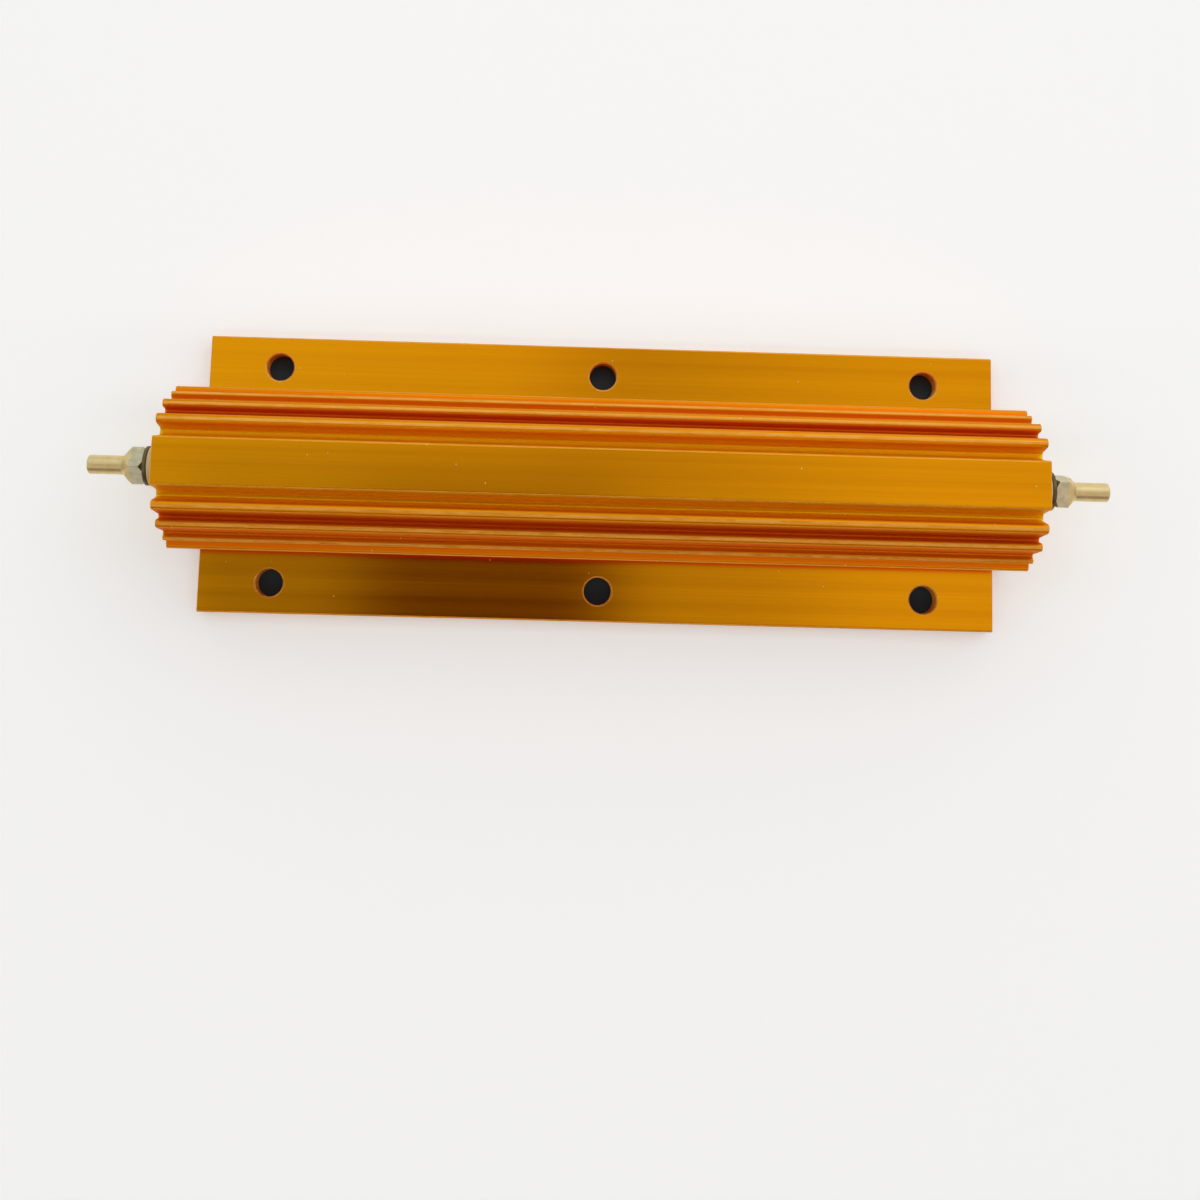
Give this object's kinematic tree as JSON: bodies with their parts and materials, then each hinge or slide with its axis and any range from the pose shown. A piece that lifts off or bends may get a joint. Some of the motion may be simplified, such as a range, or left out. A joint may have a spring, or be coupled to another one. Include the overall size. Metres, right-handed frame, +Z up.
{
  "type": "aluminium housed power resistor",
  "caption": "Wirewound power resistor in a long finned aluminium extrusion with two drilled mounting flanges and a terminal post at each end.",
  "frame": {"origin": "on the mounting face, half way between the terminal tips and half way across the flanges", "axes": "+X along the body towards the right terminal, +Y across the flanges, +Z up from the mounting face to the top flat"},
  "size_m": [0.2588, 0.073, 0.042],
  "materials": {
    "anodised_aluminium": "gold anodised, extruded, fine lengthwise die lines, semi-gloss",
    "cement": "high-temperature filler, matt",
    "core_ceramic": "unglazed ceramic, matt",
    "resistance_alloy": "drawn nickel-chromium wire, dull",
    "cap_steel": "pressed, plated",
    "stud_steel": "plated steel, satin",
    "bush_ceramic": "cream ceramic, satin",
    "washer_plated": "plated, satin",
    "post_brass": "turned brass, satin, greyer on the square foot"
  },
  "bodies": {
    "root": {"housing": "anodised_aluminium", "potting": "cement", "ceramic_core": "core_ceramic", "resistance_wire": "resistance_alloy", "left_end_cap": "cap_steel", "right_end_cap": "cap_steel", "left_terminal_stud": "stud_steel", "right_terminal_stud": "stud_steel", "left_end_bush": "bush_ceramic", "right_end_bush": "bush_ceramic", "left_flat_washer": "washer_plated", "right_flat_washer": "washer_plated", "left_terminal_post": "post_brass", "right_terminal_post": "post_brass"}
  },
  "joints": []
}
